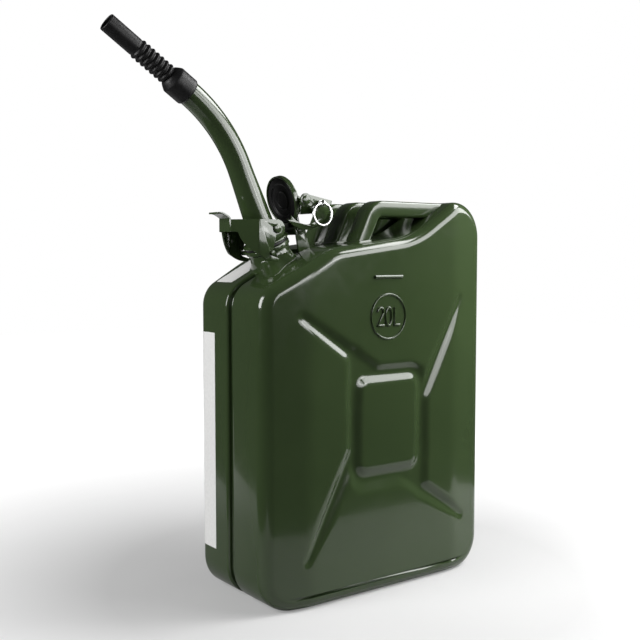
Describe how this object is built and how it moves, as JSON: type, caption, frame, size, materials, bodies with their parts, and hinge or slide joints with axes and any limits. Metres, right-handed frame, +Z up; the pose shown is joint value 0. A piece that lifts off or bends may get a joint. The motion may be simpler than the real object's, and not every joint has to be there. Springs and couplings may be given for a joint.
{
  "type": "fuel can with pouring spout",
  "caption": "Flat upright pressed-steel fuel can with a recessed seam, crossed face pressing, bar handles, hinged lever cap and a curved clamp-on pouring spout with a ribbed rubber nozzle.",
  "frame": {"origin": "centre of the tank's base, on the surface it stands on", "axes": "+Z up, +X from the spout's side to the hump that carries the handles, +Y to the far broad face"},
  "size_m": [0.4981, 0.1672, 0.6652],
  "materials": {
    "green_paint": "gloss",
    "black_rubber": "satin",
    "bright_steel": "satin"
  },
  "bodies": {
    "can": {"front_shell": "green_paint", "back_shell": "green_paint", "seam_weld": "green_paint", "front_handle": "green_paint", "middle_handle": "green_paint", "back_handle": "green_paint", "neck": "green_paint", "breather_tube": "bright_steel", "hinge_bracket": "green_paint", "hinge_pin": "bright_steel"},
    "cap": {"cap": "green_paint", "cap_gasket": "black_rubber", "cap_strap": "green_paint", "cap_stop": "green_paint", "cap_lever_pin": "bright_steel"},
    "cap_lever": {"cap_lever": "green_paint"},
    "safety_pin": {"safety_pin": "bright_steel"},
    "pull_ring": {"pull_ring": "bright_steel"},
    "spout": {"spout_head": "green_paint", "spout_gasket": "black_rubber", "filter_screen": "bright_steel", "spout_tube": "green_paint", "nozzle": "black_rubber", "lever_rivets": "bright_steel"},
    "spout_lever": {"spout_lever": "green_paint"}
  },
  "joints": [
    {"name": "cap_swing", "type": "hinge", "parent": "can", "child": "cap", "pos_m": [-0.08568, 0, 0.44194], "axis": [0, 1, 0], "range_deg": [-10, 0]},
    {"name": "cap_lever_swing", "type": "hinge", "parent": "cap", "child": "cap_lever", "pos_m": [-0.08536, 0, 0.47743], "axis": [0, -1, 0], "range_deg": [0, 90]},
    {"name": "pin_pull", "type": "slide", "parent": "cap_lever", "child": "safety_pin", "axis": [0, -1, 0], "range_m": [0, 0.008]},
    {"name": "ring_swing", "type": "hinge", "parent": "safety_pin", "child": "pull_ring", "pos_m": [-0.06566, -0.04, 0.47396], "axis": [-1, 0, 0], "range_deg": [0, 75]},
    {"name": "spout_seat", "type": "slide", "parent": "can", "child": "spout", "axis": [-0.3907, 0, 0.9205], "range_m": [0, 0.005]},
    {"name": "spout_lever_swing", "type": "hinge", "parent": "spout", "child": "spout_lever", "pos_m": [-0.12684, 0, 0.44293], "axis": [0, 1, 0], "range_deg": [0, 34]}
  ],
  "couplings": [
    {"joint": "spout_seat", "follows": "spout_lever_swing", "m_per_rad": 0.0084259}
  ]
}
